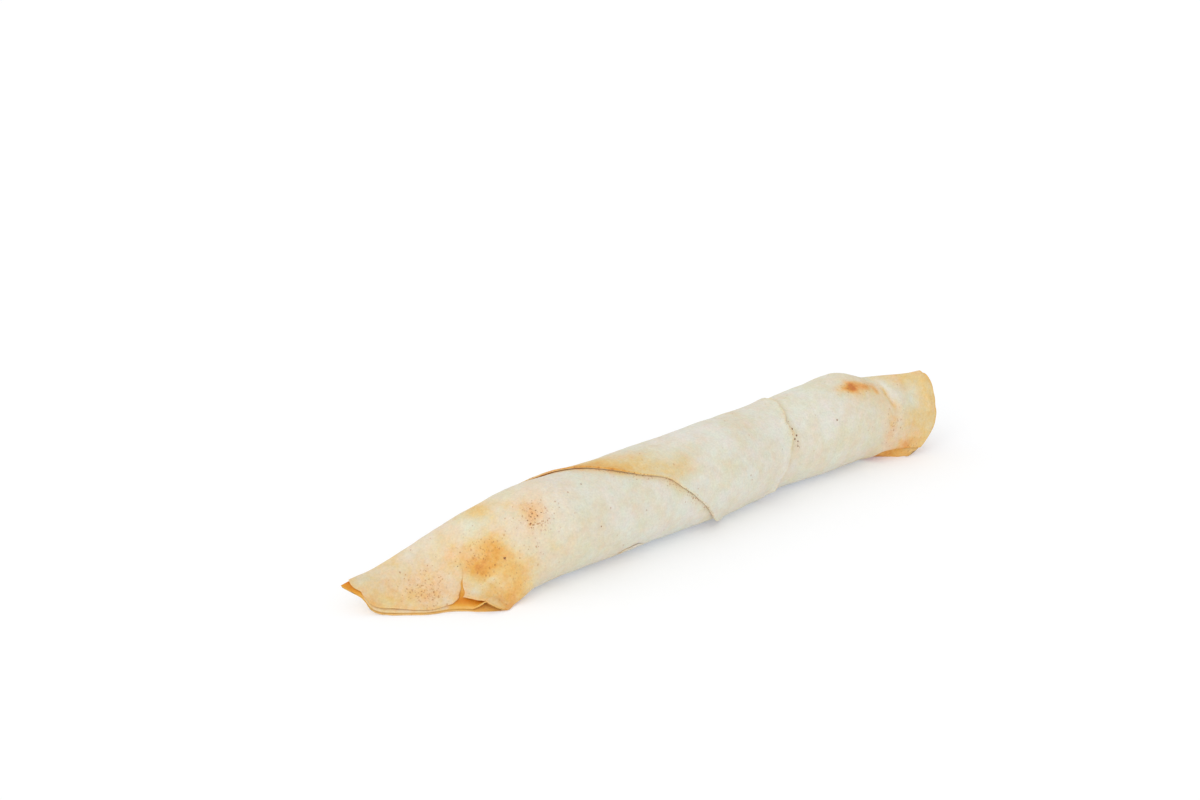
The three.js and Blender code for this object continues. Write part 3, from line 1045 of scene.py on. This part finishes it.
# The table
# The roll lies on a smooth white table top. It glows of its own, so that with the light it shows
# plain white beyond the soft shadow, and the glow also lightens that shadow. The glow is cool, to
# even out the warm light that the pastry throws on it.

table_reach = 3.0
table_mesh = bpy.data.meshes.new("table_top")
table_corners = [(x * table_reach, y * table_reach, 0) for x, y in ((-1, -1), (1, -1), (1, 1), (-1, 1))]
table_mesh.from_pydata(table_corners, [], [(0, 1, 2, 3)])
table_paint = bpy.data.materials.new("white_table")
table_paint.use_nodes = True
table_shader = table_paint.node_tree.nodes["Principled BSDF"]
table_shader.inputs["Base Color"].default_value = (0.84, 0.825, 0.77, 1)
table_shader.inputs["Roughness"].default_value = 0.9
table_shader.inputs["Specular IOR Level"].default_value = 0.1
table_shader.inputs["Emission Color"].default_value = (0.175, 0.195, 0.255, 1)
table_shader.inputs["Emission Strength"].default_value = 1.0
table_mesh.materials.append(table_paint)
table_top = bpy.data.objects.new("table_top", table_mesh)
bpy.context.collection.objects.link(table_top)


# The view and the light
# The camera looks down 20 degrees from the side of the mouth, through a long lens. The room is
# white all round, with a wide window on the left and a wide fill light in front.

picture_width, picture_height = 1200, 800
lens_pixels = 2833
view_height = math.radians(20)
view_turn = math.radians(47)
view_distance = 0.623
aim_pixel = (640, 500)
aim_height = 0.011
aim = Vector((-middle_along * MM, -middle_across * MM, aim_height))

right = Vector((math.cos(view_turn), -math.sin(view_turn), 0))
level = Vector((math.sin(view_turn), math.cos(view_turn), 0))
forward = level * math.cos(view_height) - Vector((0, 0, math.sin(view_height)))
above = right.cross(forward)
ray = (
    forward
    + right * ((aim_pixel[0] - picture_width / 2) / lens_pixels)
    + above * ((picture_height / 2 - aim_pixel[1]) / lens_pixels)
)
camera_data = bpy.data.cameras.new("view")
camera_data.sensor_width = 36
camera_data.lens = camera_data.sensor_width * lens_pixels / picture_width
camera_data.clip_start = 0.01
camera_data.clip_end = 20
camera = bpy.data.objects.new("view", camera_data)
camera.matrix_world = Matrix.Translation(aim - ray * view_distance) @ Matrix((
    (right.x, above.x, -forward.x, 0),
    (right.y, above.y, -forward.y, 0),
    (right.z, above.z, -forward.z, 0),
    (0, 0, 0, 1),
))
bpy.context.collection.objects.link(camera)
bpy.context.scene.camera = camera

sky = bpy.data.worlds.new("white_room")
sky.use_nodes = True
sky.node_tree.nodes["Background"].inputs["Color"].default_value = (1, 1, 1, 1)
sky.node_tree.nodes["Background"].inputs["Strength"].default_value = 0.8
bpy.context.scene.world = sky


def soft_light(name, towards, strength, spread):
    """A wide even light, spread degrees wide. towards points from the roll to the light."""
    light = bpy.data.lights.new(name, "SUN")
    light.energy = strength * math.pi
    light.angle = math.radians(spread)
    lamp = bpy.data.objects.new(name, light)
    lamp.rotation_mode = "QUATERNION"
    lamp.rotation_quaternion = (-towards).to_track_quat("-Z", "Y")
    bpy.context.collection.objects.link(lamp)


up = Vector((0, 0, 1))
soft_light("window", up * 0.8 + level * 0.1 - right * 0.75, 0.09, 60)
soft_light("front_fill", up * 0.6 - level * 0.9 - right * 0.3, 0.26, 60)

bpy.context.scene.view_settings.view_transform = "Standard"
